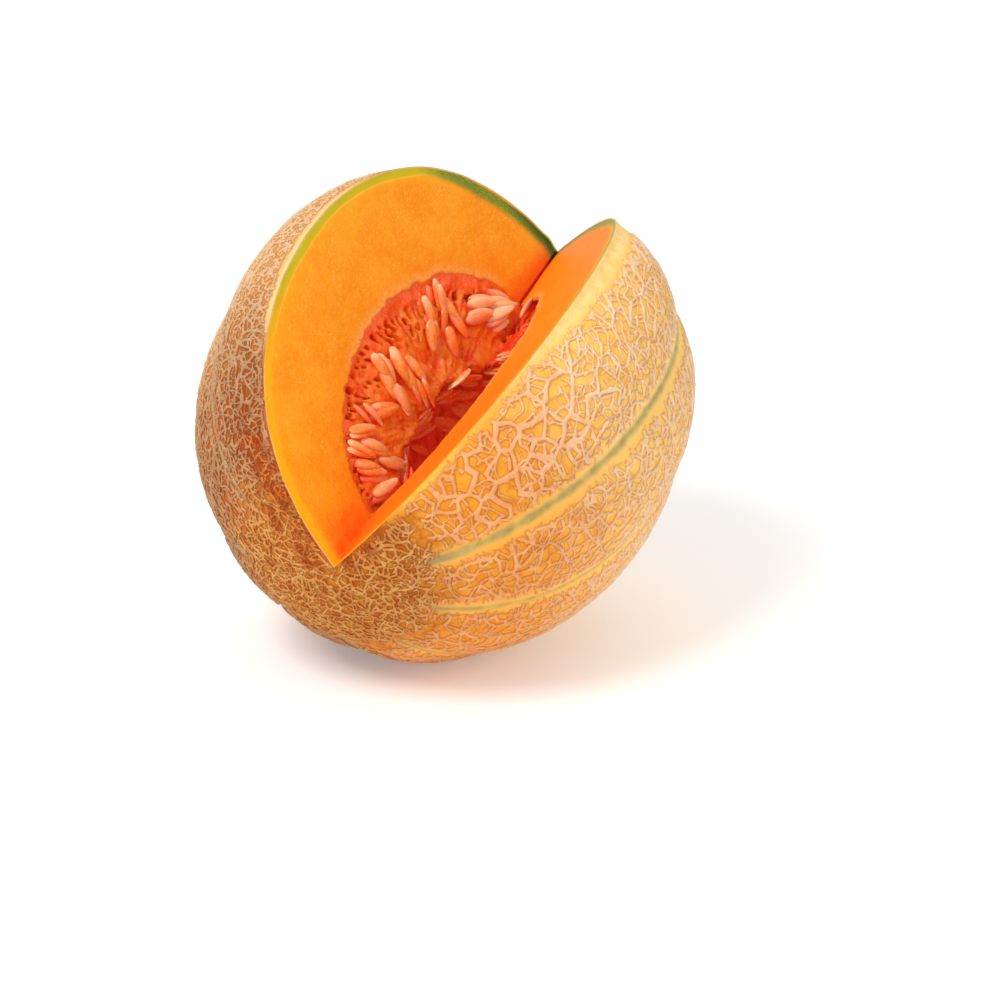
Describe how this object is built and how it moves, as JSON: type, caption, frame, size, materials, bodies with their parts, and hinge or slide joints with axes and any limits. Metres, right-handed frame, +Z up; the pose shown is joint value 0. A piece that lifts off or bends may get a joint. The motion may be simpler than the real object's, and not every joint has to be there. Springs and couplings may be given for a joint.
{
  "type": "cut muskmelon",
  "caption": "Netted, ribbed oval melon lying tilted with one wedge cut out down to its seed cavity, showing thick flesh and seedy pulp.",
  "frame": {"origin": "on the surface that the fruit rests on, under the middle of its bounding box", "axes": "+Z up; the core runs mostly along Y, with the blossom end pointing to -Y and -X and dipping below the horizontal, and the wedge's opening facing up"},
  "size_m": [0.1606, 0.168, 0.1452],
  "materials": {
    "melon_body": "dry corky net over smooth rind outside, moist orange flesh on the cut faces; matte plastic stands in for fruit",
    "seed_pulp": "wet fibrous pulp with glossy pale seeds; gloss plastic stands in for fruit"
  },
  "bodies": {
    "root": {"melon_body": "melon_body", "seed_pulp": "seed_pulp"}
  },
  "joints": []
}
